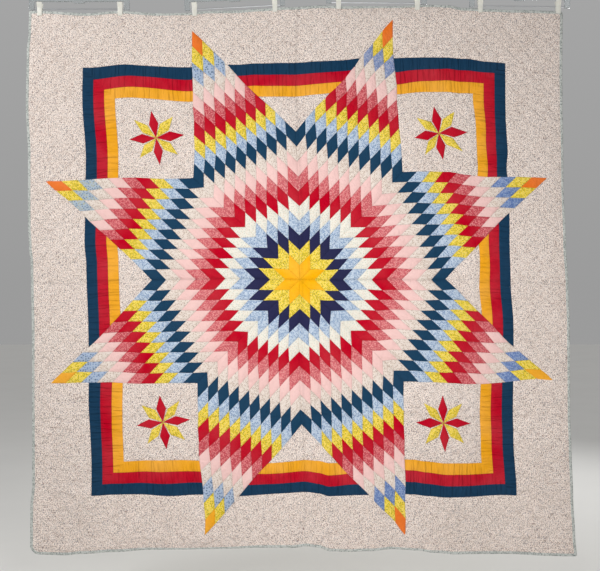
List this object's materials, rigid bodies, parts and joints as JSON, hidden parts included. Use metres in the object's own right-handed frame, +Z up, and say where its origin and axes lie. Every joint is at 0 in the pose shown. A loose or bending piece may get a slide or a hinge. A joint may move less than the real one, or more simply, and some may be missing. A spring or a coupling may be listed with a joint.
{
  "type": "star quilt blanket on clip hangers",
  "caption": "Pieced cotton quilt with a large radiating diamond star, a striped square frame and a bound edge, hanging face on from plain clip hangers.",
  "frame": {"origin": "centre of the box around the whole hanging, close above the star's middle", "axes": "+X to the viewer's right along the rail, +Y from the quilt's face to its back, +Z up"},
  "size_m": [1.9098, 0.0392, 2.0196],
  "materials": {
    "patchwork": "matt pieced cotton, hand quilted",
    "binding": "matt pale blue-grey cotton",
    "clear_plastic": "clear moulded plastic",
    "white_plastic": "satin milky white",
    "steel": "bright plated wire"
  },
  "bodies": {
    "root": {"quilt": "patchwork", "binding_bottom": "binding", "binding_right": "binding", "binding_top": "binding", "binding_left": "binding", "hanger_1_bar": "steel", "hanger_1_frame": "clear_plastic", "hanger_1_hook": "steel", "hanger_1_left_jaw_front": "white_plastic", "hanger_1_left_jaw_back": "white_plastic", "hanger_1_right_jaw_front": "white_plastic", "hanger_1_right_jaw_back": "white_plastic", "hanger_2_bar": "steel", "hanger_2_frame": "clear_plastic", "hanger_2_hook": "steel", "hanger_2_left_jaw_front": "white_plastic", "hanger_2_left_jaw_back": "white_plastic", "hanger_2_right_jaw_front": "white_plastic", "hanger_2_right_jaw_back": "white_plastic", "hanger_3_bar": "steel", "hanger_3_frame": "clear_plastic", "hanger_3_hook": "steel", "hanger_3_left_jaw_front": "white_plastic", "hanger_3_left_jaw_back": "white_plastic", "hanger_3_right_jaw_front": "white_plastic", "hanger_3_right_jaw_back": "white_plastic", "hanger_4_bar": "steel", "hanger_4_frame": "clear_plastic", "hanger_4_hook": "steel", "hanger_4_left_jaw_front": "white_plastic", "hanger_4_left_jaw_back": "white_plastic", "hanger_4_right_jaw_front": "white_plastic", "hanger_4_right_jaw_back": "white_plastic"}
  },
  "joints": []
}
